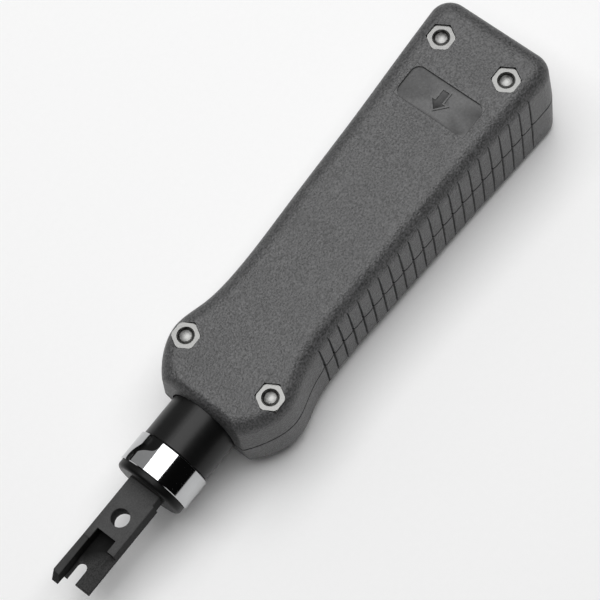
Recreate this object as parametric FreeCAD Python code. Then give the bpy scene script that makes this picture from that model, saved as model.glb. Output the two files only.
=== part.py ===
import FreeCAD, Part
import math
import os

# Impact punch down tool with a changeable blade, in millimetres.
# +X runs along the tool from the blade to the rear of the handle, +Y is across
# the handle and +Z points out of the face that carries the nuts. The handle
# grows thicker towards the rear on both faces, so that the rear end of its back
# is the lowest place, at Z = 0. The origin is under the middle of the tool.

V = FreeCAD.Vector

# ---- overall stations along X ----
TOTAL_LENGTH = 186.8
HANDLE_LENGTH = 130.4
BLADE_TIP = -TOTAL_LENGTH / 2
HANDLE_REAR = TOTAL_LENGTH / 2
HANDLE_FRONT = HANDLE_REAR - HANDLE_LENGTH
AXIS_Z = 18.35                 # height of the mechanism's axis and of the seam
TRAVEL = 10.0                  # stroke of the plunger

# ---- handle shells ----
FRONT_HALF_WIDTH = 13.4
SHOULDER_HALF_WIDTH = 19.9
WAIST_HALF_WIDTH = 16.4
REAR_HALF_WIDTH = 19.2
REAR_CORNER_R = 6.4
WALL = 2.6
DEPTH_AT_FRONT_NUTS = 13.9     # distance of the sloping faces from the seam
DEPTH_AT_REAR_NUTS = 18.0
SIDE_DRAFT = 0.35              # how far the walls lean in between the seam and the round edge
FRONT_DRAFT = 0.8
TOP_FILLET = 5.0
BOTTOM_FILLET = 3.0
FRONT_CORNER_R = 1.2
FLANK_START = V(0.84, 0.62, 0)  # direction of the flank at the front corner
FLANK_STATIONS = [              # half width of the handle along X
    (-31.0, 17.35),
    (-22.6, SHOULDER_HALF_WIDTH),
    (-13.4, 17.7),
    (-4.0, WAIST_HALF_WIDTH),
    (20.0, 16.7),
    (50.0, 17.6),
    (75.0, 18.75),
    (HANDLE_REAR - REAR_CORNER_R, REAR_HALF_WIDTH),
]
FRONT_EDGE_RATIO = 0.55        # the round edge is narrower along the front
EDGE_STEPS = 5
SEAM_GAP = 0.25
LIP_INSET = 1.5                # tongue and rebate that line the two shells up
LIP_HEIGHT = 1.0
LIP_PLAY = 0.08

# ---- grip grooves ----
GROOVE_COUNT = 22
GROOVE_FIRST_X = -6.0
GROOVE_PITCH = 4.12
# section of a groove: distance from its middle and depth below the flank
GROOVE_SECTION = [(1.35, -0.05), (0.36, 0.16), (0.0, 0.95)]

# ---- cover fasteners, M4 ----
FRONT_SCREW_X = -23.6
FRONT_SCREW_Y = 14.3
REAR_SCREW_X = 81.2
REAR_SCREW_Y = 10.84
SCREW_R = 1.95
SCREW_END_CHAMFER = 0.4
SCREW_END_SINK = 0.25          # how far a screw ends below the face of its nut
SCREW_DOME_R = 3.6
CROSS_HALF_LENGTH = 2.0
CROSS_HALF_WIDTH = 0.4
CROSS_DEPTH = 1.4
SCREW_HOLE_R = 2.2
HEAD_R = 3.8
HEAD_HEIGHT = 2.5
HEAD_ROUND = 1.1
HEAD_POCKET_R = 4.1
HEAD_POCKET_DEPTH = 3.4
NUT_ACROSS_FLATS = 7.0
NUT_POCKET_ACROSS_FLATS = 7.22
NUT_HEIGHT = 3.1
NUT_SINK = 0.5
NUT_CORNER_CUT = 0.4           # height of the cone that turns the corners off
NUT_FACE_EXTRA = 0.28          # how far the round face of a nut reaches past its flats
NUT_MOUTH = 0.35
NUT_HOLE_R = 2.1
BOSS_R = 3.7
HEAD_BOSS_R = 5.6
NUT_BOSS_R = 5.5
BOSS_STEP = 7.2                # distance from the seam to the wide part of a boss

# ---- label recess ----
LABEL_X0 = 61.3
LABEL_X1 = 71.6
LABEL_HALF_WIDTH = 11.5
LABEL_CORNER_R = 2.4
LABEL_DEPTH = 0.5
MARK_HEIGHT = 0.3
MARK_LINE = 0.42
MARK_HALF_LENGTH = 3.5
MARK_HEAD_HALF_WIDTH = 3.2
MARK_SHAFT_HALF_WIDTH = 1.5

# ---- plunger ----
TUBE_R = 10.12
TUBE_BORE_R = 7.5
TUBE_FRONT = -49.0
TUBE_REAR = -3.0
MOUTH_R = 10.5
CORE_R = 9.9
SPIGOT_R = 7.45
SPIGOT_REAR = -30.0
FLANGE_R = 10.25
FLANGE_REAR = -58.0
FLANGE_FRONT = -60.2
FLANGE_ROUND = 1.2
SOCKET_PLAY = 0.05
SOCKET_END = -40.0
STEM_R = 4.0
STEM_FRONT = -38.0
STEM_SHOULDER = 8.0
STEM_TIP_R = 2.0
STEM_TIP = 17.1
PIN_R = 1.5
PIN_X = -34.6
DETENT_R = 1.2
DETENT_X = -50.9
RING_X = -6.1
RING_WIDTH = 1.4
RING_R = 11.1
RING_GROOVE_R = 9.2
RING_GAP = 2.4
TUBE_CHAMFER = 0.3
STEM_TIP_CHAMFER = 0.4

# ---- locking band ----
BAND_R = 10.74
BAND_BORE_R = 10.0
BAND_PLAY = 0.1
BAND_CHAMFER = 0.18
BAND_GAP_REACH = 1.5           # how far the cutter of the S gap reaches past both faces
# angle of each free edge, in degrees from +Y towards +Z, at fractions of the band's width
BAND_LOW_EDGE = [(0.0, 45.5), (0.35, 45.5), (0.52, 50.5), (0.68, 55.0), (0.84, 56.5), (1.0, 53.4)]
BAND_HIGH_EDGE = [(0.0, 56.5), (0.28, 54.4), (0.42, 60.5), (0.54, 71.0), (0.65, 80.2), (0.82, 83.2),
                  (1.0, 83.4)]

# ---- blade ----
BLADE_HALF_WIDTH = 5.04
BLADE_TOP = 3.0
BLADE_BOTTOM = -2.7
BLADE_SHOULDER = -62.9
SHANK_STEP = 0.44              # how far the shank is set back on the -Y side
SHANK_BOTTOM = -2.5
SHANK_REAR = -40.4
DETENT_NOTCH_DEPTH = 0.7
EYE_X = -70.4
EYE_R = 2.6
PLATE_FRONT = -75.9
PRONG_FRONT = -79.35
FLOOR_TOP = -1.6
FLOOR_FRONT = -90.8
CHANNEL_HALF_WIDTH = 3.1
UNDERCUT = 1.2                 # the channel runs a little way under the plate
PLATE_THICKNESS = 1.3
SLOT_END = -85.0
SLOT_Y = 1.0
SLOT_R = 1.5
WING_REAR = -79.2
WING_RAKE = 2.3                # how far the cutting edge leans back
WING_POINT_Z = -1.1
WING_SPLAY = 0.2               # how far the wing leans out past the bar
WING_INNER_Y = 3.4             # inner edge of the wing's top, which slopes down inwards
WING_TOP_DROP = 0.6
LEDGE_SETBACK = 0.4            # raised edge along the floor's closed side
LEDGE_WIDTH = 2.44
LEDGE_HEIGHT = 0.5
SHANK_CHAMFER = 0.8

# ---- bushes and damper in the handle ----
BUSH_BORE_R = 10.18
BUSH_R = 11.4
FRONT_BUSH_X = (-33.0, -28.0)
REAR_BUSH_X = (-18.0, -8.0)
BUMPER_X = (-8.0, -6.4)
BUMPER_BORE_R = 10.3
SADDLE_PLAY = 0.05
SADDLE_THICKNESS = 2.0
BARREL_SADDLES_X = (12.5, 34.0, 54.0, 72.0)

# ---- impact mechanism ----
BARREL_X = (11.9, 76.5)
BARREL_R = 10.0
BARREL_BORE_R = 8.6
DIVIDER_X = (11.9, 14.7)
DIVIDER_BORE_R = 4.3
HAMMER_X = (15.0, 47.0)
HAMMER_R = 8.5
HAMMER_BORE_R = 2.2
HAMMER_BORE_END = 28.0
HAMMER_SPIGOT_R = 4.4
HAMMER_SPIGOT_LENGTH = 6.0
HAMMER_CHAMFER = 0.5
SEAR_X = (17.2, 19.4)
SEAR_HALF_WIDTH = 3.5
SEAR_BOTTOM = -10.5
SEAR_TOP = 4.5
SEAR_LIFT = 1.2
SEAR_SLOT_TOP = 7.5
SEAR_PLAY = 0.05
WEDGE_X = (16.2, 31.4)
WEDGE_HALF_WIDTH = 3.2
WINDOW_HALF_WIDTH = 3.8
WINDOW_MARGIN = 0.8
SEAT_X = (73.5, 76.5)
SEAT_SPIGOT_LENGTH = 4.0
PRESS_FIT = 0.02               # clearance of parts that are glued or pressed together
PIN_SHORT = 0.4                # how far the cross pin's ends stay below the tube's surface

# ---- springs: mean radius of the coil, radius of the wire, turns ----
MAIN_SPRING = (6.0, 0.9, 6.5)
RETURN_SPRING = (5.7, 0.55, 13)
SEAR_SPRING = (0.82, 0.22, 3.5)
SPRING_PLAY = 0.05

# ---- reach of cutting blocks, past any face they cut ----
FAR = 60.0
TINY = 0.01                    # tolerance when edges are picked by place


# ---------------------------------------------------------------- helpers
def cylinder(radius, x0, x1):
    """A round bar on the mechanism's axis."""
    return Part.makeCylinder(radius, x1 - x0, V(x0, 0, 0), V(1, 0, 0))


def sleeve(radius, bore, x0, x1):
    """A plain ring or tube on the mechanism's axis."""
    return cylinder(radius, x0, x1).cut(cylinder(bore, x0 - 1, x1 + 1))


def post(radius, x, y, z0, z1):
    """A round bar that stands along Z."""
    return Part.makeCylinder(radius, z1 - z0, V(x, y, z0))


def box(x0, x1, y0, y1, z0, z1):
    return Part.makeBox(x1 - x0, y1 - y0, z1 - z0, V(x0, y0, z0))


def fuse_all(shapes):
    return shapes[0].multiFuse(shapes[1:]).removeSplitter()


def hexagon(across_flats, x, y, z0, z1):
    """A hexagonal bar along Z with two corners on a line along X."""
    radius = across_flats / math.sqrt(3)
    corners = [V(x + radius * math.cos(math.radians(a)), y + radius * math.sin(math.radians(a)), z0)
               for a in range(0, 361, 60)]
    return Part.Face(Part.makePolygon(corners)).extrude(V(0, 0, z1 - z0))


def coil(mean_r, wire_r, turns, x0, x1):
    """A helical spring along X between two stations."""
    length = x1 - x0 - 2 * wire_r
    helix = Part.makeHelix(length / turns, length, mean_r)
    section = Part.Wire(Part.makeCircle(wire_r, V(mean_r, 0, 0), V(0, 1, 0)))
    spring = Part.Wire(helix).makePipeShell([section], True, True)
    spring.rotate(V(0, 0, 0), V(0, 1, 0), 90)
    spring.translate(V(x0 + wire_r, 0, 0))
    return spring


def on_axis(shape):
    """Lifts a piece modelled about Z = 0 to the height of the mechanism's axis."""
    lifted = shape.copy()
    lifted.translate(V(0, 0, AXIS_Z))
    return lifted


def save(shape, node):
    solids = shape.Solids
    body = solids[0] if len(solids) == 1 else Part.makeCompound(solids)
    body.exportStep("parts/" + node + ".step")
    print(node, len(solids), "solid(s)", round(sum(s.Volume for s in solids), 1), "mm3", body.isValid())


# ---------------------------------------------------------------- handle form
def half_depth(x):
    """Distance of both sloping faces from the seam."""
    slope = (DEPTH_AT_REAR_NUTS - DEPTH_AT_FRONT_NUTS) / (REAR_SCREW_X - FRONT_SCREW_X)
    return DEPTH_AT_FRONT_NUTS + slope * (x - FRONT_SCREW_X)


def top_z(x):
    """Height of the face that carries the nuts."""
    return AXIS_Z + half_depth(x)


def back_z(x):
    """Height of the back, which carries the screw heads."""
    return AXIS_Z - half_depth(x)


def other_half(shape):
    """The same shape on the other side of the seam."""
    return shape.mirror(V(0, 0, AXIS_Z), V(0, 0, 1))


def corner_turn():
    """Angle that the outline turns through at each front corner."""
    return math.atan2(FLANK_START.x, FLANK_START.y)


def corner_setback():
    """How far the round of a front corner reaches from the sharp corner."""
    return FRONT_CORNER_R * math.tan(corner_turn() / 2)


def flank(inset, front_inset):
    """The side curve, from the front corner over the shoulder and waist to the rear."""
    corner = V(HANDLE_FRONT + front_inset, FRONT_HALF_WIDTH - inset, 0)
    start = corner + V(FLANK_START).normalize() * corner_setback()
    curve = Part.BSplineCurve()
    curve.interpolate([start] + [V(x, y - inset, 0) for x, y in FLANK_STATIONS])
    return curve


def side_width(x):
    """Half width of the outline at one station."""
    curve = flank(0, 0)
    low, high = curve.FirstParameter, curve.LastParameter
    for _ in range(40):
        middle = (low + high) / 2
        if curve.value(middle).x < x:
            low = middle
        else:
            high = middle
    return curve.value(low).y


def outline(inset, front_inset, z=0.0):
    """The closed outline of the handle at one height, inset from its widest form."""
    flank_curve = flank(inset, front_inset)
    side = flank_curve.toShape()
    start = flank_curve.StartPoint
    corner_x = HANDLE_REAR - REAR_CORNER_R
    corner_y = REAR_HALF_WIDTH - REAR_CORNER_R
    radius = REAR_CORNER_R - inset
    diagonal = radius / math.sqrt(2)
    rear_corner = Part.Arc(V(corner_x, corner_y + radius, 0),
                           V(corner_x + diagonal, corner_y + diagonal, 0),
                           V(corner_x + radius, corner_y, 0)).toShape()
    front_x = HANDLE_FRONT + front_inset
    face_end = FRONT_HALF_WIDTH - inset - corner_setback()
    half_way = math.pi - corner_turn() / 2
    front_corner = Part.Arc(V(front_x, face_end, 0),
                            V(front_x + FRONT_CORNER_R * (1 + math.cos(half_way)),
                              face_end + FRONT_CORNER_R * math.sin(half_way), 0),
                            start).toShape()
    one_side = [front_corner, side, rear_corner]
    other_side = [edge.mirror(V(0, 0, 0), V(0, 1, 0)) for edge in one_side]
    front = Part.makeLine(V(front_x, -face_end, 0), V(front_x, face_end, 0))
    rear = Part.makeLine(V(corner_x + radius, corner_y, 0), V(corner_x + radius, -corner_y, 0))
    wire = Part.Wire(Part.__sortEdges__([front] + one_side + [rear] + other_side))
    wire.translate(V(0, 0, z))
    return wire


def top_slope():
    """Angle of the sloping top face, in degrees."""
    return math.degrees(math.atan(half_depth(1) - half_depth(0)))


def sloping(wire, drop):
    """Tilts a flat outline to the slope of the top face, a given drop below it."""
    wire.rotate(V(0, 0, 0), V(0, 1, 0), -top_slope())
    wire.translate(V(0, 0, top_z(0) - drop))
    return wire


def outer_half(fillet):
    """One half of the handle's outer form, from the seam up, not yet hollow."""
    sections = []
    for step in range(EDGE_STEPS + 1):
        angle = math.radians(90 * step / EDGE_STEPS)
        inset = fillet * (1 - math.cos(angle))
        wire = outline(SIDE_DRAFT + inset, FRONT_DRAFT + FRONT_EDGE_RATIO * inset)
        sections.append(sloping(wire, fillet * (1 - math.sin(angle))))
    round_edge = Part.makeLoft(sections, True, False)
    wall = Part.makeLoft([outline(0, 0, AXIS_Z), sections[0]], True, True)
    return wall.fuse(round_edge)


def above_top(offset):
    """Everything above the sloping top face, moved down by an offset."""
    x0, x1 = HANDLE_FRONT - FAR, HANDLE_REAR + FAR
    side = [V(x0, -FAR, top_z(x0) - offset), V(x1, -FAR, top_z(x1) - offset),
            V(x1, -FAR, 2 * FAR), V(x0, -FAR, 2 * FAR), V(x0, -FAR, top_z(x0) - offset)]
    return Part.Face(Part.makePolygon(side)).extrude(V(0, 2 * FAR, 0))


def inner_form():
    """The hollow of the two shells, a wall thickness inside the outer form."""
    section = Part.Face(outline(WALL + SIDE_DRAFT, WALL + FRONT_DRAFT, -FAR))
    block = section.extrude(V(0, 0, 3 * FAR))
    return block.cut(above_top(WALL)).cut(other_half(above_top(WALL)))


def groove_cutters():
    """Narrow V grooves with shallow shoulders, down both flanks of the grip."""
    cutters = []
    section = [(-reach, depth) for reach, depth in GROOVE_SECTION]
    section += [(reach, depth) for reach, depth in reversed(GROOVE_SECTION[:-1])]
    half = GROOVE_SECTION[0][0]
    section += [(half, -WALL), (-half, -WALL), section[0]]
    for i in range(GROOVE_COUNT):
        x = GROOVE_FIRST_X + i * GROOVE_PITCH
        width = side_width(x)
        for sign in (1, -1):
            wire = Part.makePolygon([V(x + dx, sign * (width - depth), -FAR) for dx, depth in section])
            cutters.append(Part.Face(wire).extrude(V(0, 0, 2 * FAR)))
    return Part.makeCompound(cutters)


def screw_places():
    return [(FRONT_SCREW_X, FRONT_SCREW_Y), (FRONT_SCREW_X, -FRONT_SCREW_Y),
            (REAR_SCREW_X, REAR_SCREW_Y), (REAR_SCREW_X, -REAR_SCREW_Y)]


def nut_seat(x):
    """Height of the shelf that a nut pulls against."""
    return top_z(x) - NUT_SINK - NUT_HEIGHT


def head_seat(x):
    """Height of the shelf that a screw head pulls against."""
    return back_z(x) + HEAD_POCKET_DEPTH


def bulkhead(x0, x1, bore):
    """A cross wall with a round saddle for a piece on the mechanism's axis."""
    wall = box(x0, x1, -FAR, FAR, -FAR, FAR)
    return wall.cut(on_axis(cylinder(bore, x0 - 1, x1 + 1)))


def inner_walls():
    """The thick nose, saddles for the rear bush and the barrel, and the walls they push against."""
    shoulder_x = REAR_BUSH_X[0] - SADDLE_PLAY
    rear_wall_x = BARREL_X[1] + 4 * SADDLE_PLAY
    walls = [bulkhead(HANDLE_FRONT, FRONT_BUSH_X[1] + SADDLE_THICKNESS, MOUTH_R),
             bulkhead(shoulder_x - SADDLE_THICKNESS, shoulder_x, MOUTH_R),
             bulkhead(shoulder_x, REAR_BUSH_X[0] + SADDLE_THICKNESS, BUSH_R + SADDLE_PLAY),
             bulkhead(REAR_BUSH_X[1] - SADDLE_THICKNESS, BUMPER_X[1], BUSH_R + SADDLE_PLAY),
             bulkhead(rear_wall_x, rear_wall_x + SADDLE_THICKNESS, HAMMER_SPIGOT_R)]
    for x in BARREL_SADDLES_X:
        walls.append(bulkhead(x, x + SADDLE_THICKNESS, BARREL_R + SADDLE_PLAY))
    return walls


def boss(x, y, upper):
    """A screw boss, wide at its outer end for the nut or the screw head."""
    if upper:
        slim = post(BOSS_R, x, y, AXIS_Z, 2 * FAR)
        wide = post(NUT_BOSS_R, x, y, AXIS_Z + BOSS_STEP, 2 * FAR)
    else:
        slim = post(BOSS_R, x, y, -FAR, AXIS_Z)
        wide = post(HEAD_BOSS_R, x, y, -FAR, AXIS_Z - BOSS_STEP)
    return slim.fuse(wide)


def lip_ring(inset, z0, z1):
    """A ring that follows the outline, from an inset to the inner wall."""
    ring = Part.Face(outline(inset, inset, z0)).extrude(V(0, 0, z1 - z0))
    hollow = Part.Face(outline(WALL + SIDE_DRAFT, WALL + FRONT_DRAFT, z0 - 1)).extrude(V(0, 0, z1 - z0 + 2))
    return ring.cut(hollow)


def mechanism_space():
    """Room for the plunger through the front of the handle, and the front bush's pocket."""
    passage = cylinder(MOUTH_R, HANDLE_FRONT - WALL, FRONT_BUSH_X[1] + WALL)
    pocket = cylinder(BUSH_R + SADDLE_PLAY, FRONT_BUSH_X[0] - SADDLE_PLAY, FRONT_BUSH_X[1] + SADDLE_PLAY)
    return on_axis(passage.fuse(pocket))


def hollow_shell(outer, inner, upper):
    """Turns one outer form into a shell with its bosses and cross walls."""
    inside = [boss(x, y, upper) for x, y in screw_places()] + inner_walls()
    structure = Part.makeCompound(inside).common(inner)
    shell = outer.cut(inner)
    shell = shell.multiFuse([s.common(outer) for s in structure.Solids])
    return shell.cut(mechanism_space())


def label_recess():
    """A shallow pocket with round corners, sunk square to the sloping face."""
    x_mid = (LABEL_X0 + LABEL_X1) / 2
    pocket = box(LABEL_X0, LABEL_X1, -LABEL_HALF_WIDTH, LABEL_HALF_WIDTH, -LABEL_DEPTH, WALL)
    pocket = pocket.makeFillet(LABEL_CORNER_R, [e for e in pocket.Edges if e.BoundBox.ZLength > 1])
    return lean_to_top(pocket, x_mid)


def arrow_mark():
    """A small raised outline of an arrow that points at the blade."""
    x_mid = (LABEL_X0 + LABEL_X1) / 2

    def arrow(grow):
        slant = MARK_HEAD_HALF_WIDTH / MARK_HALF_LENGTH
        tip = -MARK_HALF_LENGTH - grow * math.hypot(1, slant) / slant
        tail = MARK_HALF_LENGTH + grow
        head = slant * (grow - tip)
        shaft = MARK_SHAFT_HALF_WIDTH + grow
        upper = [(tip, 0), (grow, head), (grow, shaft), (tail, shaft)]
        points = upper + [(x, -y) for x, y in reversed(upper)]
        wire = Part.makePolygon([V(x_mid + x, y, -2 * LABEL_DEPTH) for x, y in points])
        return Part.Face(wire).extrude(V(0, 0, LABEL_DEPTH + MARK_HEIGHT))

    mark = arrow(0).cut(arrow(-MARK_LINE))
    return lean_to_top(mark, x_mid)


def lean_to_top(shape, x_mid):
    """Moves a shape drawn on Z = 0 onto the sloping top face."""
    leaning = shape.copy()
    leaning.rotate(V(x_mid, 0, 0), V(0, 1, 0), -top_slope())
    leaning.translate(V(0, 0, top_z(x_mid)))
    return leaning


# ---------------------------------------------------------------- handle pieces
def shells():
    """Upper and lower shell, each with its bosses, saddles and half of the seam joint."""
    grooves = groove_cutters()
    inner = inner_form()
    above_seam = box(-2 * FAR, 2 * FAR, -FAR, FAR, AXIS_Z, 2 * FAR)
    below_seam = box(-2 * FAR, 2 * FAR, -FAR, FAR, -FAR, AXIS_Z)

    upper = hollow_shell(outer_half(TOP_FILLET).cut(grooves), inner.common(above_seam), True)
    upper = upper.cut(box(-2 * FAR, 2 * FAR, -FAR, FAR, 0, AXIS_Z + SEAM_GAP))
    upper = upper.cut(lip_ring(LIP_INSET - LIP_PLAY, AXIS_Z - 1, AXIS_Z + LIP_HEIGHT + LIP_PLAY))
    for x, y in screw_places():
        upper = upper.cut(post(SCREW_HOLE_R, x, y, 0, FAR))
        upper = upper.cut(hexagon(NUT_POCKET_ACROSS_FLATS, x, y, nut_seat(x), FAR))
    upper = upper.cut(label_recess())
    upper = upper.fuse(arrow_mark())

    lower = hollow_shell(other_half(outer_half(BOTTOM_FILLET)).cut(grooves), inner.common(below_seam), False)
    lip = lip_ring(LIP_INSET, AXIS_Z - LIP_HEIGHT / 2, AXIS_Z + LIP_HEIGHT)
    lip = lip.cut(mechanism_space())
    lower = lower.fuse(lip)
    for x, y in screw_places():
        lower = lower.cut(post(SCREW_HOLE_R, x, y, -FAR, FAR))
        lower = lower.cut(post(HEAD_POCKET_R, x, y, -FAR, head_seat(x)))
    return upper.removeSplitter(), lower.removeSplitter()


def cover_screw(x, y):
    """An M4 pan head screw with a cross recess and a domed, chamfered end."""
    end = nut_seat(x) + NUT_HEIGHT - SCREW_END_SINK
    seat = head_seat(x)
    shaft = post(SCREW_R, x, y, seat, end)
    tip_edge = [e for e in shaft.Edges if e.BoundBox.ZMin > end - TINY]
    shaft = shaft.makeChamfer(SCREW_END_CHAMFER, tip_edge)
    dome_r = SCREW_R - SCREW_END_CHAMFER
    dome_rise = SCREW_DOME_R - math.sqrt(SCREW_DOME_R ** 2 - dome_r ** 2)
    dome = Part.makeSphere(SCREW_DOME_R, V(x, y, end + dome_rise - SCREW_DOME_R))
    dome = dome.common(post(dome_r, x, y, end - SCREW_END_SINK, end + 1))
    bottom = seat - HEAD_HEIGHT
    head = post(HEAD_R, x, y, bottom, seat)
    head = head.makeFillet(HEAD_ROUND, [e for e in head.Edges if e.BoundBox.ZMax < bottom + TINY])
    screw = fuse_all([shaft, dome, head])
    for angle in (45, 135):
        bar = box(-CROSS_HALF_LENGTH, CROSS_HALF_LENGTH, -CROSS_HALF_WIDTH, CROSS_HALF_WIDTH,
                  bottom - 1, bottom + CROSS_DEPTH)
        bar.rotate(V(0, 0, 0), V(0, 0, 1), angle)
        bar.translate(V(x, y, 0))
        screw = screw.cut(bar)
    return screw


def cover_nut(x, y):
    """A hexagon nut with its corners turned off on both faces."""
    z0 = nut_seat(x)
    z1 = z0 + NUT_HEIGHT
    nut = hexagon(NUT_ACROSS_FLATS, x, y, z0, z1)
    face_r = NUT_ACROSS_FLATS / 2 + NUT_FACE_EXTRA
    wide_r = face_r + NUT_CORNER_CUT
    lower_cone = Part.makeCone(face_r, wide_r, NUT_CORNER_CUT, V(x, y, z0))
    middle = post(wide_r, x, y, z0 + NUT_CORNER_CUT, z1 - NUT_CORNER_CUT)
    upper_cone = Part.makeCone(wide_r, face_r, NUT_CORNER_CUT, V(x, y, z1 - NUT_CORNER_CUT))
    nut = nut.common(fuse_all([lower_cone, middle, upper_cone]))
    nut = nut.cut(post(NUT_HOLE_R, x, y, z0 - 1, z1 + 1))
    return nut.cut(Part.makeCone(NUT_HOLE_R, NUT_HOLE_R + NUT_MOUTH, NUT_MOUTH, V(x, y, z1 - NUT_MOUTH)))


def trip_wedge():
    """A hardened ramp on the floor of the handle that lifts the sear as the hammer moves back."""
    def ramp_z(x):
        return SEAR_BOTTOM - SEAR_PLAY + SEAR_LIFT / TRAVEL * (x - SEAR_X[1])

    def floor_z(x):
        return WALL - half_depth(x)

    x0, x1 = WEDGE_X
    side = [V(x0, -WEDGE_HALF_WIDTH, floor_z(x0)), V(x1, -WEDGE_HALF_WIDTH, floor_z(x1)),
            V(x1, -WEDGE_HALF_WIDTH, ramp_z(x1)), V(x0, -WEDGE_HALF_WIDTH, ramp_z(x0)),
            V(x0, -WEDGE_HALF_WIDTH, floor_z(x0))]
    return Part.Face(Part.makePolygon(side)).extrude(V(0, 2 * WEDGE_HALF_WIDTH, 0))


def barrel():
    """A steel liner for the hammer, with a window below for the sear's tail."""
    liner = sleeve(BARREL_R, BARREL_BORE_R, *BARREL_X)
    return liner.cut(box(SEAR_X[0] - WINDOW_MARGIN, WEDGE_X[1] + WINDOW_MARGIN,
                         -WINDOW_HALF_WIDTH, WINDOW_HALF_WIDTH, -FAR, -BARREL_R / 2))


def spring_seat():
    """The closed rear end of the barrel, with a spigot for the main spring."""
    plug = cylinder(BARREL_BORE_R - PRESS_FIT, *SEAT_X)
    return plug.fuse(cylinder(HAMMER_SPIGOT_R, SEAT_X[0] - SEAT_SPIGOT_LENGTH, SEAT_X[0]))


# ---------------------------------------------------------------- plunger pieces
def cross_bar(radius, half_length):
    """A round bar across the mechanism's axis, at the cross pin's station."""
    return Part.makeCylinder(radius, 2 * half_length, V(PIN_X, -half_length, 0), V(0, 1, 0))


def plunger_tube():
    """The round tube that slides into the handle, with a ring groove at its rear end."""
    tube = sleeve(TUBE_R, TUBE_BORE_R, TUBE_FRONT, TUBE_REAR)
    tube = tube.cut(sleeve(TUBE_R + 1, RING_GROOVE_R,
                           RING_X - SPRING_PLAY, RING_X + RING_WIDTH + SPRING_PLAY))
    tube = tube.cut(cross_bar(PIN_R + PRESS_FIT, 2 * TUBE_R))
    rims = [e for e in tube.Edges if e.BoundBox.XLength < TINY
            and e.BoundBox.ZLength > 2 * TUBE_R - TINY
            and (e.BoundBox.XMax < TUBE_FRONT + TINY or e.BoundBox.XMin > TUBE_REAR - TINY)]
    return tube.makeChamfer(TUBE_CHAMFER, rims)


def nose_core():
    """The blade holder: front flange, seat for the band and spigot inside the tube."""
    flange = cylinder(FLANGE_R, FLANGE_FRONT, FLANGE_REAR)
    front_rim = [e for e in flange.Edges if e.BoundBox.XMax < FLANGE_FRONT + TINY]
    flange = flange.makeFillet(FLANGE_ROUND, front_rim)
    core = fuse_all([flange, cylinder(CORE_R, FLANGE_REAR, TUBE_FRONT),
                     cylinder(SPIGOT_R, TUBE_FRONT, SPIGOT_REAR)])
    core = core.cut(box(FLANGE_FRONT - 1, SOCKET_END,
                        SHANK_STEP - BLADE_HALF_WIDTH - SOCKET_PLAY, BLADE_HALF_WIDTH + SOCKET_PLAY,
                        SHANK_BOTTOM - SOCKET_PLAY, BLADE_TOP + SOCKET_PLAY))
    core = core.cut(cylinder(STEM_R + PRESS_FIT, STEM_FRONT, SPIGOT_REAR + 1))
    core = core.cut(cross_bar(PIN_R + PRESS_FIT, 2 * TUBE_R))
    return core.cut(post(DETENT_R + SOCKET_PLAY, DETENT_X, 0, 0, 2 * CORE_R))


def stem():
    """The rod that carries the push to the hammer and takes its blow on the shoulder."""
    rod = cylinder(STEM_R, STEM_FRONT, STEM_SHOULDER)
    tip = cylinder(STEM_TIP_R, STEM_SHOULDER, STEM_TIP)
    tip = tip.makeChamfer(STEM_TIP_CHAMFER, [e for e in tip.Edges if e.BoundBox.XMin > STEM_TIP - TINY])
    return rod.fuse(tip).cut(cross_bar(PIN_R + PRESS_FIT, 2 * TUBE_R))


def stop_ring():
    """A snap ring that stops the plunger against the damper, split at the bottom."""
    ring = sleeve(RING_R, RING_GROOVE_R + SPRING_PLAY, RING_X, RING_X + RING_WIDTH)
    return ring.cut(box(RING_X - 1, RING_X + RING_WIDTH + 1, -RING_GAP / 2, RING_GAP / 2, -FAR, 0))


def detent_pin():
    """The round-ended pin that the band keeps pressed into a notch of the blade's shank."""
    low = BLADE_TOP - DETENT_NOTCH_DEPTH + SOCKET_PLAY + DETENT_R
    high = BAND_BORE_R - SOCKET_PLAY - DETENT_R
    ends = [Part.makeSphere(DETENT_R, V(DETENT_X, 0, z)) for z in (low, high)]
    return fuse_all([post(DETENT_R, DETENT_X, 0, low, high)] + ends)


def lock_band():
    """A split spring band. Its ends are cut to facing S curves, wide apart at the rear."""
    front = FLANGE_REAR + BAND_PLAY
    rear = TUBE_FRONT - BAND_PLAY
    band = sleeve(BAND_R, BAND_BORE_R, front, rear)
    rims = [e for e in band.Edges if e.BoundBox.XLength < TINY and e.BoundBox.ZLength > 2 * BAND_R - TINY]
    band = band.makeChamfer(BAND_CHAMFER, rims)
    length = rear - front

    def edge_curve(stations, radius):
        points = []
        for part, degrees in stations:
            angle = math.radians(degrees)
            points.append(V(front + part * length, radius * math.cos(angle), radius * math.sin(angle)))
        first, last = points[0], points[-1]
        points[0] = V(first.x - BAND_PLAY, first.y, first.z)
        points[-1] = V(last.x + BAND_PLAY, last.y, last.z)
        curve = Part.BSplineCurve()
        curve.interpolate(points)
        return curve.toShape()

    def gap_wire(radius):
        low = edge_curve(BAND_LOW_EDGE, radius)
        high = edge_curve(BAND_HIGH_EDGE, radius)
        ends = [Part.makeLine(low.Vertexes[0].Point, high.Vertexes[0].Point),
                Part.makeLine(low.Vertexes[-1].Point, high.Vertexes[-1].Point)]
        return Part.Wire(Part.__sortEdges__([low, ends[1], high, ends[0]]))

    wires = [gap_wire(BAND_BORE_R - BAND_GAP_REACH), gap_wire(BAND_R + BAND_GAP_REACH)]
    gap = Part.makeLoft(wires, True, True)
    return band.cut(gap)


# ---------------------------------------------------------------- blade
def wing_block(rear, front):
    """A block between a rear and a front four-cornered end."""
    ends = [Part.makePolygon([V(*p) for p in end] + [V(*end[0])]) for end in (rear, front)]
    return Part.makeLoft(ends, True, True)


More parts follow.
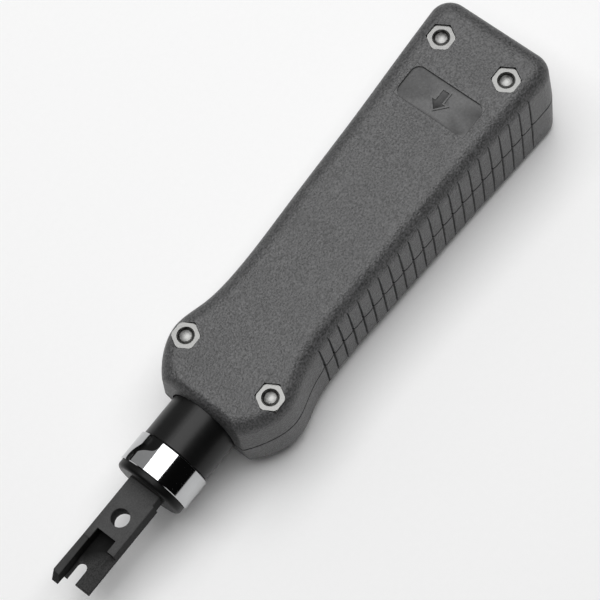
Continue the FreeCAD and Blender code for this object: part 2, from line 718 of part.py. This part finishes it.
def blade():
    """One steel part: shank, bar with an eye, forked channel and cutting wing."""
    w = BLADE_HALF_WIDTH
    bar = box(PRONG_FRONT, BLADE_SHOULDER, -w, w, BLADE_BOTTOM, BLADE_TOP)
    shank = box(BLADE_SHOULDER, SHANK_REAR, SHANK_STEP - w, w, SHANK_BOTTOM, BLADE_TOP)
    rear_edges = [e for e in shank.Edges if e.BoundBox.XMin > SHANK_REAR - TINY and e.BoundBox.YLength > 1]
    shank = shank.makeChamfer(SHANK_CHAMFER, rear_edges)
    floor = box(FLOOR_FRONT, PRONG_FRONT, -w, w, BLADE_BOTTOM, FLOOR_TOP)
    ledge = box(FLOOR_FRONT + LEDGE_SETBACK, PRONG_FRONT, -w, LEDGE_WIDTH - w, BLADE_BOTTOM,
                FLOOR_TOP + LEDGE_HEIGHT)
    inner_z = BLADE_TOP - WING_TOP_DROP
    edge_x = BLADE_TIP + WING_RAKE
    inner_x = BLADE_TIP + WING_RAKE * (inner_z - WING_POINT_Z) / (BLADE_TOP - WING_POINT_Z)
    wing = wing_block(
        [(WING_REAR, w, BLADE_BOTTOM), (WING_REAR, w, BLADE_TOP), (WING_REAR, WING_INNER_Y, inner_z),
         (WING_REAR, CHANNEL_HALF_WIDTH, BLADE_BOTTOM)],
        [(BLADE_TIP, w + WING_SPLAY / 2, WING_POINT_Z), (edge_x, w + WING_SPLAY, BLADE_TOP),
         (inner_x, WING_INNER_Y, inner_z), (BLADE_TIP, CHANNEL_HALF_WIDTH, WING_POINT_Z)])
    solid = fuse_all([bar, shank, floor, ledge, wing])

    reach = 2 * BLADE_TOP
    channel = box(PRONG_FRONT - TINY, PLATE_FRONT, -CHANNEL_HALF_WIDTH, CHANNEL_HALF_WIDTH, FLOOR_TOP, reach)
    undercut = box(PLATE_FRONT - TINY, PLATE_FRONT + UNDERCUT, -CHANNEL_HALF_WIDTH, CHANNEL_HALF_WIDTH,
                   FLOOR_TOP, BLADE_TOP - PLATE_THICKNESS)
    slot = box(FLOOR_FRONT - 1, SLOT_END - SLOT_R, SLOT_Y - SLOT_R, SLOT_Y + SLOT_R, -reach, 0)
    slot_round = post(SLOT_R, SLOT_END - SLOT_R, SLOT_Y, -reach, 0)
    eye = post(EYE_R, EYE_X, 0, -reach, reach)
    notch_z = BLADE_TOP - DETENT_NOTCH_DEPTH + DETENT_R
    notch = Part.makeCylinder(DETENT_R + SOCKET_PLAY, 4 * w, V(DETENT_X, -2 * w, notch_z), V(0, 1, 0))
    for cutter in (fuse_all([channel, undercut]), fuse_all([slot, slot_round]), eye, notch):
        solid = solid.cut(cutter)
    return solid


def hammer():
    """The striking weight, with a cross slot for the sear and a bore for the stem."""
    weight = cylinder(HAMMER_R, *HAMMER_X)
    weight = weight.makeChamfer(HAMMER_CHAMFER, [e for e in weight.Edges if e.BoundBox.XLength < TINY])
    weight = weight.fuse(cylinder(HAMMER_SPIGOT_R, HAMMER_X[1], HAMMER_X[1] + HAMMER_SPIGOT_LENGTH))
    weight = weight.cut(cylinder(HAMMER_BORE_R, HAMMER_X[0] - 1, HAMMER_BORE_END))
    return weight.cut(box(SEAR_X[0] - SEAR_PLAY, SEAR_X[1] + SEAR_PLAY,
                          -SEAR_HALF_WIDTH - SEAR_PLAY, SEAR_HALF_WIDTH + SEAR_PLAY, -FAR, SEAR_SLOT_TOP))


def sear():
    """The cross plate that the stem pushes on until the wedge lines its hole up."""
    plate = box(SEAR_X[0], SEAR_X[1], -SEAR_HALF_WIDTH, SEAR_HALF_WIDTH, SEAR_BOTTOM, SEAR_TOP)
    hole = Part.makeCylinder(HAMMER_BORE_R, FAR, V(0, 0, -SEAR_LIFT), V(1, 0, 0))
    return plate.cut(hole)


def sear_spring():
    """A short coil between the sear and the roof of its slot."""
    spring = coil(*SEAR_SPRING, 0, SEAR_SLOT_TOP - SEAR_TOP - 2 * SPRING_PLAY)
    spring.rotate(V(0, 0, 0), V(0, 1, 0), -90)
    spring.translate(V((SEAR_X[0] + SEAR_X[1]) / 2, 0, SEAR_TOP + SPRING_PLAY))
    return spring


def main():
    os.makedirs("parts", exist_ok=True)
    upper, lower = shells()
    save(upper, "upper_shell")
    save(lower, "lower_shell")
    save(Part.makeCompound([cover_screw(x, y) for x, y in screw_places()]), "cover_screws")
    save(Part.makeCompound([cover_nut(x, y) for x, y in screw_places()]), "cover_nuts")

    pieces = {
        "front_bush": sleeve(BUSH_R, BUSH_BORE_R, *FRONT_BUSH_X),
        "rear_bush": sleeve(BUSH_R, BUSH_BORE_R, *REAR_BUSH_X),
        "bumper_washer": sleeve(BUSH_R, BUMPER_BORE_R, *BUMPER_X),
        "barrel": barrel(),
        "divider_washer": sleeve(BARREL_BORE_R - PRESS_FIT, DIVIDER_BORE_R, *DIVIDER_X),
        "spring_seat": spring_seat(),
        "trip_wedge": trip_wedge(),
        "main_spring": coil(*MAIN_SPRING, HAMMER_X[1] + SPRING_PLAY, SEAT_X[0] - SPRING_PLAY),
        "return_spring": coil(*RETURN_SPRING, SPIGOT_REAR + SPRING_PLAY, DIVIDER_X[0] - SPRING_PLAY),
        "hammer": hammer(),
        "sear": sear(),
        "sear_spring": sear_spring(),
        "plunger_tube": plunger_tube(),
        "nose_core": nose_core(),
        "cross_pin": cross_bar(PIN_R, TUBE_R - PIN_SHORT),
        "stem": stem(),
        "stop_ring": stop_ring(),
        "lock_band": lock_band(),
        "detent_pin": detent_pin(),
        "blade": blade(),
    }
    for node, shape in pieces.items():
        save(on_axis(shape), node)


main()
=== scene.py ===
import math

import bpy
from mathutils import Matrix, Vector


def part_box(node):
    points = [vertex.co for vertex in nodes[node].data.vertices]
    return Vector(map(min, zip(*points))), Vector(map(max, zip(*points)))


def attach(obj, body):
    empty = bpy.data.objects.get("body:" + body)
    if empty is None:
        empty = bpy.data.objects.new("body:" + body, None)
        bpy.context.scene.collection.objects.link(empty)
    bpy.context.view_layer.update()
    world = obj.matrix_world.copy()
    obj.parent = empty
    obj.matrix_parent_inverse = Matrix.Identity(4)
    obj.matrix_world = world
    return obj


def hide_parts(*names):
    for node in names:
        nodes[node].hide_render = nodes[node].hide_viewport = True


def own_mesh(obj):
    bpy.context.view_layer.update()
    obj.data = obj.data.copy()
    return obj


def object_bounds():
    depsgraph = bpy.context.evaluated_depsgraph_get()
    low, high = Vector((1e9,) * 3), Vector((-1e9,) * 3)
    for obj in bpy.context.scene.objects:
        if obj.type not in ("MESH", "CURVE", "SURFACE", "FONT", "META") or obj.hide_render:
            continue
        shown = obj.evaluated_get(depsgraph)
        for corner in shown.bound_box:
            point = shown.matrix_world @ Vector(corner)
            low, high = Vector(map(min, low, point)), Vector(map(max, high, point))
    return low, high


# Looks for the impact punch down tool: studio, camera, procedural materials and
# the three coil springs. Lengths are in metres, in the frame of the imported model.

MM = 0.001
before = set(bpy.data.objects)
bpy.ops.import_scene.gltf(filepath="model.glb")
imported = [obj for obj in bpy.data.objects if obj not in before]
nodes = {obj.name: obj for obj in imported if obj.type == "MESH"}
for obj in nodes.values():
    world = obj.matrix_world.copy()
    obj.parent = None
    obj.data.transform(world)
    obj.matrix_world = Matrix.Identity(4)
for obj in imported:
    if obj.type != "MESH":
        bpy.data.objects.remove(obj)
cad_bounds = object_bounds()


# ---------------------------------------------------------------- node helpers
MIX_FACTOR = 0                 # sockets of a Mix node that is set to colours
MIX_FIRST = 6
MIX_SECOND = 7
MIX_RESULT = 2


class Shader:
    """A new material with a Principled shader and short calls for adding nodes."""

    def __init__(self, name, color, roughness, metallic=0.0, **sockets):
        self.material = bpy.data.materials.new(name)
        self.material.use_nodes = True
        self.nodes = self.material.node_tree.nodes
        self.links = self.material.node_tree.links
        self.principled = self.nodes["Principled BSDF"]
        self.set(self.principled, "Base Color", (*color, 1.0))
        self.set(self.principled, "Roughness", roughness)
        self.set(self.principled, "Metallic", metallic)
        for socket, value in sockets.items():
            self.set(self.principled, socket.replace("_", " "), value)
        self.coords = self.nodes.new("ShaderNodeTexCoord").outputs["Object"]

    def set(self, node, socket, value):
        """Gives a socket a value, or links another node's output to it."""
        if isinstance(value, bpy.types.NodeSocket):
            self.links.new(value, node.inputs[socket])
        else:
            node.inputs[socket].default_value = value

    def scaled(self, stretch):
        """Object coordinates stretched by a factor along each axis."""
        mapping = self.nodes.new("ShaderNodeMapping")
        self.set(mapping, "Vector", self.coords)
        self.set(mapping, "Scale", stretch)
        return mapping.outputs["Vector"]

    def noise(self, scale, detail=3.0, roughness=0.5, stretch=(1, 1, 1)):
        texture = self.nodes.new("ShaderNodeTexNoise")
        self.set(texture, "Vector", self.scaled(stretch))
        self.set(texture, "Scale", scale)
        self.set(texture, "Detail", detail)
        self.set(texture, "Roughness", roughness)
        return texture.outputs["Fac"]

    def spread(self, factor, low, high, start=0.3, end=0.7):
        """Maps a factor to a range of values."""
        mapped = self.nodes.new("ShaderNodeMapRange")
        self.set(mapped, "Value", factor)
        for socket, value in (("From Min", start), ("From Max", end), ("To Min", low), ("To Max", high)):
            self.set(mapped, socket, value)
        return mapped.outputs["Result"]

    def blend(self, factor, first, second, mode="MIX"):
        """Mixes two colours by a factor."""
        mix = self.nodes.new("ShaderNodeMix")
        mix.data_type = "RGBA"
        mix.blend_type = mode
        self.set(mix, MIX_FACTOR, factor)
        for index, color in ((MIX_FIRST, first), (MIX_SECOND, second)):
            value = color if isinstance(color, bpy.types.NodeSocket) else (*color, 1.0)
            self.set(mix, index, value)
        return mix.outputs[MIX_RESULT]

    def math(self, operation, first, second=0.0):
        node = self.nodes.new("ShaderNodeMath")
        node.operation = operation
        self.set(node, 0, first)
        self.set(node, 1, second)
        return node.outputs[0]

    def bump(self, height, distance, strength=1.0, normal=None):
        node = self.nodes.new("ShaderNodeBump")
        self.set(node, "Height", height)
        self.set(node, "Distance", distance)
        self.set(node, "Strength", strength)
        if normal is not None:
            self.set(node, "Normal", normal)
        return node.outputs["Normal"]

    def edge_wear(self, low=0.52, high=0.6):
        """How far a point stands on a convex edge, from 0 to 1."""
        geometry = self.nodes.new("ShaderNodeNewGeometry")
        return self.spread(geometry.outputs["Pointiness"], 0.0, 1.0, low, high)

    def color(self, value):
        self.set(self.principled, "Base Color", value)

    def roughness(self, value):
        self.set(self.principled, "Roughness", value)

    def normal(self, value):
        self.set(self.principled, "Normal", value)


# ---------------------------------------------------------------- materials
GRIP = (0.060, 0.060, 0.061)
GRIP_LIGHT = (0.068, 0.068, 0.069)
GRIP_DARK = (0.052, 0.052, 0.053)
# near-black colour painted as shade into the seam and the grooves
PAINTED_SHADE = (0.003, 0.003, 0.003)
GRAIN_WEIGHT = 0.9             # how far the grain shows
FINE_RELIEF = 0.24 * MM
COARSE_RELIEF = 0.12 * MM
HOLLOW_SHADE_WEIGHT = 0.9            # how far painted shade darkens the grooves and corners
LABEL_FRONT = 32.1 * MM        # label recess, measured from the rear end of the grip
LABEL_REAR = 21.8 * MM
LABEL_HALF_WIDTH = 11.5 * MM
LABEL_EDGE = 0.1 * MM
LABEL_SMOOTHING = 0.85
TOP_FACE_SHARE = 0.8           # the top face lies above this share of the shell's height
SEAM_BELOW = 0.45 * MM         # band of painted shade about the seam
SEAM_ABOVE = 0.2 * MM
SEAM_EDGE = 0.15 * MM
SIDE_SHADE_DEPTH = 1.0 * MM          # the blade is painted near-black, as shade on its sides, from this depth below its top
TOP_LIGHT_DEPTH = 0.5 * MM       # and painted lighter and smoother, as light on its top face, down to this depth
PAPER_FADE_START = 0.30
PAPER_FADE_END = 0.85


def between(shader, value, low, high, soft):
    """1 where a value lies between two limits, with soft ends."""
    rise = shader.spread(value, 0.0, 1.0, low - soft, low)
    fall = shader.spread(value, 1.0, 0.0, high, high + soft)
    return shader.math("MULTIPLY", rise, fall)


def label_mask(shader, x, y, z):
    """1 inside the label recess, whose floor is smoother than the grain round it."""
    low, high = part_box("upper_shell")
    along = between(shader, x, high.x - LABEL_FRONT, high.x - LABEL_REAR, LABEL_EDGE)
    across = between(shader, y, -LABEL_HALF_WIDTH, LABEL_HALF_WIDTH, LABEL_EDGE)
    upper = shader.math("GREATER_THAN", z, low.z + TOP_FACE_SHARE * (high.z - low.z))
    return shader.math("MULTIPLY", shader.math("MULTIPLY", along, across), upper)


def grip_plastic(name, with_label):
    """Moulded plastic with a fine spark-eroded grain, with shade painted dark into its seam and grooves."""
    shader = Shader(name, GRIP, 0.42, Specular_IOR_Level=0.6)
    parts = shader.nodes.new("ShaderNodeSeparateXYZ")
    shader.set(parts, "Vector", shader.coords)
    x, y, z = (parts.outputs[axis] for axis in "XYZ")
    broad = shader.noise(90.0, 4.0, 0.6)
    fine = shader.noise(1900.0, 2.0, 0.6)
    speckle = shader.noise(1300.0, 3.0, 0.65)
    tone = shader.blend(shader.spread(broad, 0.0, 1.0), GRIP_DARK, GRIP_LIGHT)
    dots = shader.blend(shader.spread(fine, 0.0, 1.0, 0.35, 0.65), (0.35, 0.35, 0.35), (1.65, 1.65, 1.65))
    grain = GRAIN_WEIGHT
    if with_label:
        smoothed = shader.math("MULTIPLY", label_mask(shader, x, y, z), LABEL_SMOOTHING)
        grain = shader.math("MULTIPLY", shader.math("SUBTRACT", 1.0, smoothed), GRAIN_WEIGHT)
    mixed = shader.blend(grain, tone, dots, "MULTIPLY")
    seam_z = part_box("upper_shell")[0].z
    # painted shade: a dark band along the seam between the shells
    seam_shade = between(shader, z, seam_z - SEAM_BELOW, seam_z + SEAM_ABOVE, SEAM_EDGE)
    geometry = shader.nodes.new("ShaderNodeNewGeometry")
    # painted shade: concave grooves and corners darkened by pointiness, and made rougher
    hollow_shade = shader.spread(geometry.outputs["Pointiness"], 1.0, 0.0, 0.40, 0.485)
    painted_shade = shader.math("MAXIMUM", seam_shade, shader.math("MULTIPLY", hollow_shade, HOLLOW_SHADE_WEIGHT))
    shader.color(shader.blend(painted_shade, mixed, PAINTED_SHADE))
    rough = shader.spread(speckle, 0.36, 0.50)
    shader.roughness(shader.math("ADD", rough, shader.math("MULTIPLY", painted_shade, 0.35)))
    bumps = shader.math("MULTIPLY", fine, grain)
    coarse = shader.bump(speckle, COARSE_RELIEF, 0.8)
    shader.normal(shader.bump(bumps, FINE_RELIEF, 1.0, coarse))
    return shader.material


def zinc_plate(name, color, roughness):
    """Bright zinc on steel, with faint tumbling marks."""
    shader = Shader(name, color, roughness, metallic=1.0)
    blotches = shader.noise(900.0, 4.0, 0.6)
    grain = shader.noise(4200.0, 2.0, 0.5)
    dull = tuple(0.6 * c for c in color)
    shader.color(shader.blend(shader.spread(blotches, 0.0, 1.0), dull, color))
    shader.roughness(shader.spread(blotches, roughness * 0.75, roughness * 1.35))
    shader.normal(shader.bump(grain, 0.03 * MM, 0.8))
    return shader.material


def polished_chrome(name):
    """Mirror chrome with hair-fine rolling marks round the band."""
    shader = Shader(name, (0.50, 0.505, 0.51), 0.06, metallic=1.0)
    marks = shader.noise(3000.0, 2.0, 0.5, (6.0, 0.4, 0.4))
    haze = shader.noise(240.0, 3.0, 0.5)
    shader.color(shader.blend(shader.spread(haze, 0.0, 1.0), (0.47, 0.475, 0.48), (0.52, 0.525, 0.53)))
    shader.roughness(shader.spread(marks, 0.04, 0.10))
    shader.normal(shader.bump(marks, 0.002 * MM, 0.4))
    return shader.material


def satin_black(name, level, roughness, gloss, turned):
    """Black finish, with fine turning rings along X where the piece is turned."""
    shader = Shader(name, (level, level, level * 1.03), roughness, Specular_IOR_Level=gloss)
    stretch = (8.0, 0.3, 0.3) if turned else (1.0, 1.0, 1.0)
    rings = shader.noise(1400.0, 3.0, 0.6, stretch)
    cloud = shader.noise(160.0, 3.0, 0.5)
    shader.color(shader.blend(shader.spread(cloud, 0.0, 1.0), (level * 0.8,) * 3, (level * 1.3,) * 3))
    shader.roughness(shader.spread(rings, roughness * 0.85, roughness * 1.15))
    shader.normal(shader.bump(rings, 0.006 * MM, 0.5))
    return shader.material


def black_oxide(name):
    """Blackened tool steel, with shade painted near-black on its sides, light painted dark grey on its
    smoother top face, and worn edges.
    """
    shader = Shader(name, (0.02, 0.02, 0.02), 0.6, Specular_IOR_Level=0.10)
    grain = shader.noise(2400.0, 4.0, 0.65)
    cloud = shader.noise(300.0, 4.0, 0.6)
    parts = shader.nodes.new("ShaderNodeSeparateXYZ")
    shader.set(parts, "Vector", shader.coords)
    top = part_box("blade")[1].z
    # painted light and shade by height: the top face painted lighter, the sides darker
    painted_top_light = shader.spread(parts.outputs["Z"], 0.0, 1.0, top - SIDE_SHADE_DEPTH, top - TOP_LIGHT_DEPTH)
    grey = shader.blend(shader.spread(cloud, 0.0, 1.0), (0.038, 0.038, 0.038), (0.054, 0.054, 0.054))
    base = shader.blend(painted_top_light, (0.010, 0.010, 0.010), grey)
    worn = shader.math("MULTIPLY", shader.edge_wear(), shader.spread(grain, 0.1, 0.6))
    shader.color(shader.blend(worn, base, (0.10, 0.10, 0.10)))
    matt = shader.spread(grain, 0.72, 0.92)
    shader.roughness(shader.math("SUBTRACT", matt, shader.math("MULTIPLY", painted_top_light, 0.28)))
    shader.normal(shader.bump(grain, 0.02 * MM, 0.6))
    return shader.material


def ground_steel(name, color, roughness, stretch):
    """Plain machined steel with fine lay marks."""
    shader = Shader(name, color, roughness, metallic=1.0)
    lay = shader.noise(1600.0, 3.0, 0.6, stretch)
    oil = shader.noise(120.0, 3.0, 0.5)
    shader.color(shader.blend(shader.spread(oil, 0.0, 1.0), tuple(0.8 * c for c in color), color))
    shader.roughness(shader.spread(lay, roughness * 0.75, roughness * 1.3))
    shader.normal(shader.bump(lay, 0.008 * MM, 0.6))
    return shader.material


def acetal(name):
    """Natural white bearing plastic."""
    shader = Shader(name, (0.72, 0.71, 0.67), 0.38)
    cloud = shader.noise(140.0, 3.0, 0.5)
    shader.color(shader.blend(shader.spread(cloud, 0.0, 1.0), (0.68, 0.67, 0.62), (0.76, 0.75, 0.71)))
    shader.roughness(shader.spread(shader.noise(900.0), 0.32, 0.46))
    shader.normal(shader.bump(shader.noise(1500.0), 0.01 * MM, 0.4))
    return shader.material


def rubber(name):
    """Black damper rubber."""
    shader = Shader(name, (0.022, 0.022, 0.022), 0.75)
    grain = shader.noise(1800.0, 3.0, 0.6)
    shader.color(shader.blend(shader.spread(grain, 0.0, 1.0), (0.016, 0.016, 0.016), (0.032, 0.032, 0.031)))
    shader.roughness(shader.spread(grain, 0.65, 0.85))
    shader.normal(shader.bump(grain, 0.02 * MM, 0.6))
    return shader.material


def floor_paper(name):
    """White studio paper that fades out into the backdrop."""
    shader = Shader(name, (0.95, 0.95, 0.95), 0.8, Specular_IOR_Level=0.1)
    fibre = shader.noise(600.0, 3.0, 0.6)
    shader.color(shader.blend(shader.spread(fibre, 0.0, 1.0), (0.945, 0.945, 0.945), (0.955, 0.955, 0.955)))
    distance = shader.nodes.new("ShaderNodeVectorMath")
    distance.operation = "LENGTH"
    shader.set(distance, "Vector", shader.coords)
    fade = shader.spread(distance.outputs["Value"], 1.0, 0.0, PAPER_FADE_START, PAPER_FADE_END)
    shader.set(shader.principled, "Alpha", fade)
    return shader.material


def dress_nodes():
    """Gives every CAD node its finish."""
    steel = ground_steel("ground_steel", (0.56, 0.55, 0.53), 0.3, (6.0, 0.4, 0.4))
    finishes = {
        "upper_shell": grip_plastic("grip_plastic_top", True),
        "lower_shell": grip_plastic("grip_plastic_back", False),
        "cover_nuts": zinc_plate("zinc_nut", (0.28, 0.28, 0.274), 0.38),
        "cover_screws": zinc_plate("zinc_screw", (0.34, 0.34, 0.333), 0.40),
        "lock_band": polished_chrome("polished_chrome"),
        "plunger_tube": satin_black("satin_black_tube", 0.005, 0.33, 0.25, True),
        "nose_core": satin_black("black_core", 0.005, 0.36, 0.14, False),
        "blade": black_oxide("black_oxide"),
        "bumper_washer": rubber("damper_rubber"),
    }
    acetal_finish = acetal("natural_acetal")
    finishes["front_bush"] = acetal_finish
    finishes["rear_bush"] = acetal_finish
    for name, node in nodes.items():
        node.data.materials.clear()
        node.data.materials.append(finishes.get(name, steel))


# ---------------------------------------------------------------- coil springs
SPRING_SIDES = 12
STEPS_PER_TURN = 40
END_TURNS = 1.0                # closed turns at each end
END_PITCH = 1.6                # rise of a closed turn, in wire radii
MAIN_WIRE_R = 0.9 * MM
MAIN_TURNS = 6.5
RETURN_WIRE_R = 0.55 * MM
RETURN_TURNS = 13
SEAR_WIRE_R = 0.22 * MM
SEAR_TURNS = 4


def coil_mesh(name, mean_r, wire_r, length, turns):
    """A round-wire spring along +X from 0, with its end turns closed up."""
    steps = int(STEPS_PER_TURN * turns)
    closed = END_TURNS / turns
    reach = length - 2 * wire_r
    end_rise = END_PITCH * wire_r * END_TURNS

    def along(part):
        if part < closed:
            return end_rise * part / closed
        if part > 1 - closed:
            return reach - end_rise * (1 - part) / closed
        return end_rise + (reach - 2 * end_rise) * (part - closed) / (1 - 2 * closed)

    verts, faces = [], []
    for i in range(steps + 1):
        part = i / steps
        angle = 2 * math.pi * turns * part
        outward = Vector((0, math.cos(angle), math.sin(angle)))
        centre = Vector((wire_r + along(part), 0, 0)) + mean_r * outward
        for k in range(SPRING_SIDES):
            around = 2 * math.pi * k / SPRING_SIDES
            verts.append(centre + wire_r * (math.cos(around) * outward + Vector((math.sin(around), 0, 0))))
    for i in range(steps):
        for k in range(SPRING_SIDES):
            n = (k + 1) % SPRING_SIDES
            a, b = i * SPRING_SIDES, (i + 1) * SPRING_SIDES
            faces.append((a + k, a + n, b + n, b + k))
    faces.append(tuple(range(SPRING_SIDES)))
    faces.append(tuple(steps * SPRING_SIDES + k for k in reversed(range(SPRING_SIDES))))
    mesh = bpy.data.meshes.new(name)
    mesh.from_pydata(verts, [], faces)
    mesh.flip_normals()
    mesh.update()
    for polygon in mesh.polygons:
        polygon.use_smooth = len(polygon.vertices) == 4
    return mesh


def spring(name, node, body, wire_r, turns, axis, finish):
    """A coil that stands for a CAD spring, which it hides, attached to the given body."""
    low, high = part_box(node)
    length = (high - low).dot(Vector(axis))
    middle = (low + high) / 2
    width = high.y - low.y
    mesh = coil_mesh(name, width / 2 - wire_r, wire_r, length, turns)
    piece = bpy.data.objects.new(name, mesh)
    bpy.context.scene.collection.objects.link(piece)
    turn = Vector((1, 0, 0)).rotation_difference(Vector(axis)).to_matrix().to_4x4()
    start = middle - Vector(axis) * length / 2
    piece.matrix_world = Matrix.Translation(start) @ turn
    mesh.materials.append(finish)
    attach(piece, body)
    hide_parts(node)
    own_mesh(piece)


def springs():
    wire = ground_steel("spring_wire", (0.36, 0.36, 0.37), 0.28, (1.0, 1.0, 1.0))
    along_tool = (1, 0, 0)
    upward = (0, 0, 1)
    spring("main_coil", "main_spring", "handle", MAIN_WIRE_R, MAIN_TURNS, along_tool, wire)
    spring("return_coil", "return_spring", "handle",
           RETURN_WIRE_R, RETURN_TURNS, along_tool, wire)
    spring("sear_coil", "sear_spring", "hammer", SEAR_WIRE_R, SEAR_TURNS, upward, wire)


# ---------------------------------------------------------------- studio
CAMERA_AZIMUTH = -32.415       # degrees, 0 looks along +Y
CAMERA_ELEVATION = 68.22
CAMERA_ROLL = -20.15
CAMERA_DISTANCE = 0.6705
CAMERA_LENS = 151.78
SENSOR_WIDTH = 36.0
CLIP_END = 20.0
AIM_FORWARD = 0.00455          # aim point, ahead of the middle of the tool
AIM_SIDE = 0.00072
ROOM_LIGHT = 0.004             # what the dark room adds to the lamps
BACKDROP_LEVEL = 0.88          # how bright the backdrop looks behind the paper
FLOOR_HALF = 2.0
FLOOR_GAP = 0.05 * MM
OVERHEAD_PLACE = (0.2, 0.06, 1.0)
OVERHEAD_AIM = (0.2, 0.06, 0)
OVERHEAD_SIZE = (1.2, 0.97)
OVERHEAD_POWER = 12.6
CARD_PLACE = (0.1, 0.85, 0.60)
CARD_AIM = (0, 0, 0.02)
CARD_SIZE = (1.6, 1.05)
CARD_POWER = 2.1


def camera():
    """Looks steeply down on the nut side, from ahead and from the -Y side."""
    azimuth = math.radians(CAMERA_AZIMUTH)
    elevation = math.radians(CAMERA_ELEVATION)
    roll = math.radians(CAMERA_ROLL)
    back = Vector((math.sin(azimuth) * math.cos(elevation),
                   -math.cos(azimuth) * math.cos(elevation), math.sin(elevation)))
    level = Vector((0, 0, 1)).cross(back).normalized()
    upright = back.cross(level)
    right = math.cos(roll) * level + math.sin(roll) * upright
    up = -math.sin(roll) * level + math.cos(roll) * upright
    tube_low, tube_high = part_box("plunger_tube")
    aim = Vector((AIM_FORWARD, AIM_SIDE, (tube_low.z + tube_high.z) / 2))
    place = aim + back * CAMERA_DISTANCE
    data = bpy.data.cameras.new("camera")
    data.lens = CAMERA_LENS
    data.sensor_width = SENSOR_WIDTH
    data.clip_end = CLIP_END
    view = bpy.data.objects.new("camera", data)
    view.matrix_world = Matrix((
        (right.x, up.x, back.x, place.x),
        (right.y, up.y, back.y, place.y),
        (right.z, up.z, back.z, place.z),
        (0, 0, 0, 1)))
    bpy.context.scene.collection.objects.link(view)
    bpy.context.scene.camera = view


def softbox(name, place, target, size, power):
    """A rectangular area light aimed at a point."""
    data = bpy.data.lights.new(name, "AREA")
    data.shape = "RECTANGLE"
    data.size, data.size_y = size
    data.energy = power
    light = bpy.data.objects.new(name, data)
    light.location = place
    light.rotation_euler = (Vector(target) - Vector(place)).to_track_quat("-Z", "Y").to_euler()
    bpy.context.scene.collection.objects.link(light)


def studio():
    """White paper under two softboxes in a dark room, before a pale backdrop that gives no light."""
    mesh = bpy.data.meshes.new("studio_floor")
    half = FLOOR_HALF
    mesh.from_pydata([(-half, -half, 0), (half, -half, 0), (half, half, 0), (-half, half, 0)],
                     [], [(0, 1, 2, 3)])
    floor = bpy.data.objects.new("studio_floor", mesh)
    floor.location.z = cad_bounds[0][2] - FLOOR_GAP
    mesh.materials.append(floor_paper("studio_paper"))
    bpy.context.scene.collection.objects.link(floor)

    softbox("overhead", OVERHEAD_PLACE, OVERHEAD_AIM, OVERHEAD_SIZE, OVERHEAD_POWER)
    softbox("left_card", CARD_PLACE, CARD_AIM, CARD_SIZE, CARD_POWER)

    world = bpy.data.worlds.new("studio_world")
    world.use_nodes = True
    tree = world.node_tree
    seen = tree.nodes.new("ShaderNodeLightPath").outputs["Is Camera Ray"]
    level = tree.nodes.new("ShaderNodeMapRange")
    level.inputs["To Min"].default_value = ROOM_LIGHT
    level.inputs["To Max"].default_value = BACKDROP_LEVEL
    tree.links.new(seen, level.inputs["Value"])
    background = tree.nodes["Background"]
    background.inputs["Color"].default_value = (1, 1, 1, 1)
    tree.links.new(level.outputs["Result"], background.inputs["Strength"])
    bpy.context.scene.world = world
    bpy.context.scene.view_settings.view_transform = "Standard"


dress_nodes()
springs()
camera()
studio()
